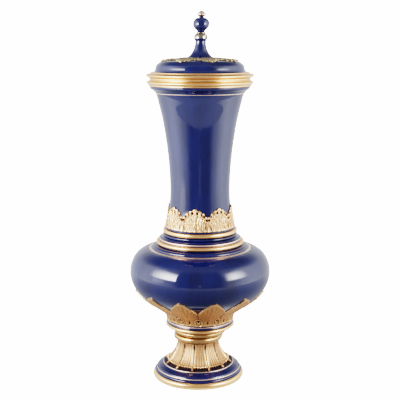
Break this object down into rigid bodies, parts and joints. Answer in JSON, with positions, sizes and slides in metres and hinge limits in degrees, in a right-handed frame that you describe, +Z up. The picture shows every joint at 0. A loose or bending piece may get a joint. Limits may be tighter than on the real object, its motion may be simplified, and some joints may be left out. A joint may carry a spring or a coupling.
{
  "type": "lidded vase",
  "caption": "Tall porcelain vase and lid: trumpet neck on a squat bulb, gilded relief leaves and mouldings, fluted spreading foot, turned finial.",
  "frame": {"origin": "on the vase's axis, in the plane that its foot stands on", "axes": "+Z up the vase to the finial, -Y the front"},
  "size_m": [0.1926, 0.1926, 0.5],
  "materials": {
    "cobalt_glaze": "deep cobalt-blue glazed porcelain, mirror gloss, with burnished gold bands and relief",
    "gilding": "gilded porcelain, satin flutes with burnished ribs, cobalt-blue glazed base moulding"
  },
  "bodies": {
    "root": {"lid": "cobalt_glaze", "vase_body": "cobalt_glaze", "foot": "gilding"}
  },
  "joints": []
}
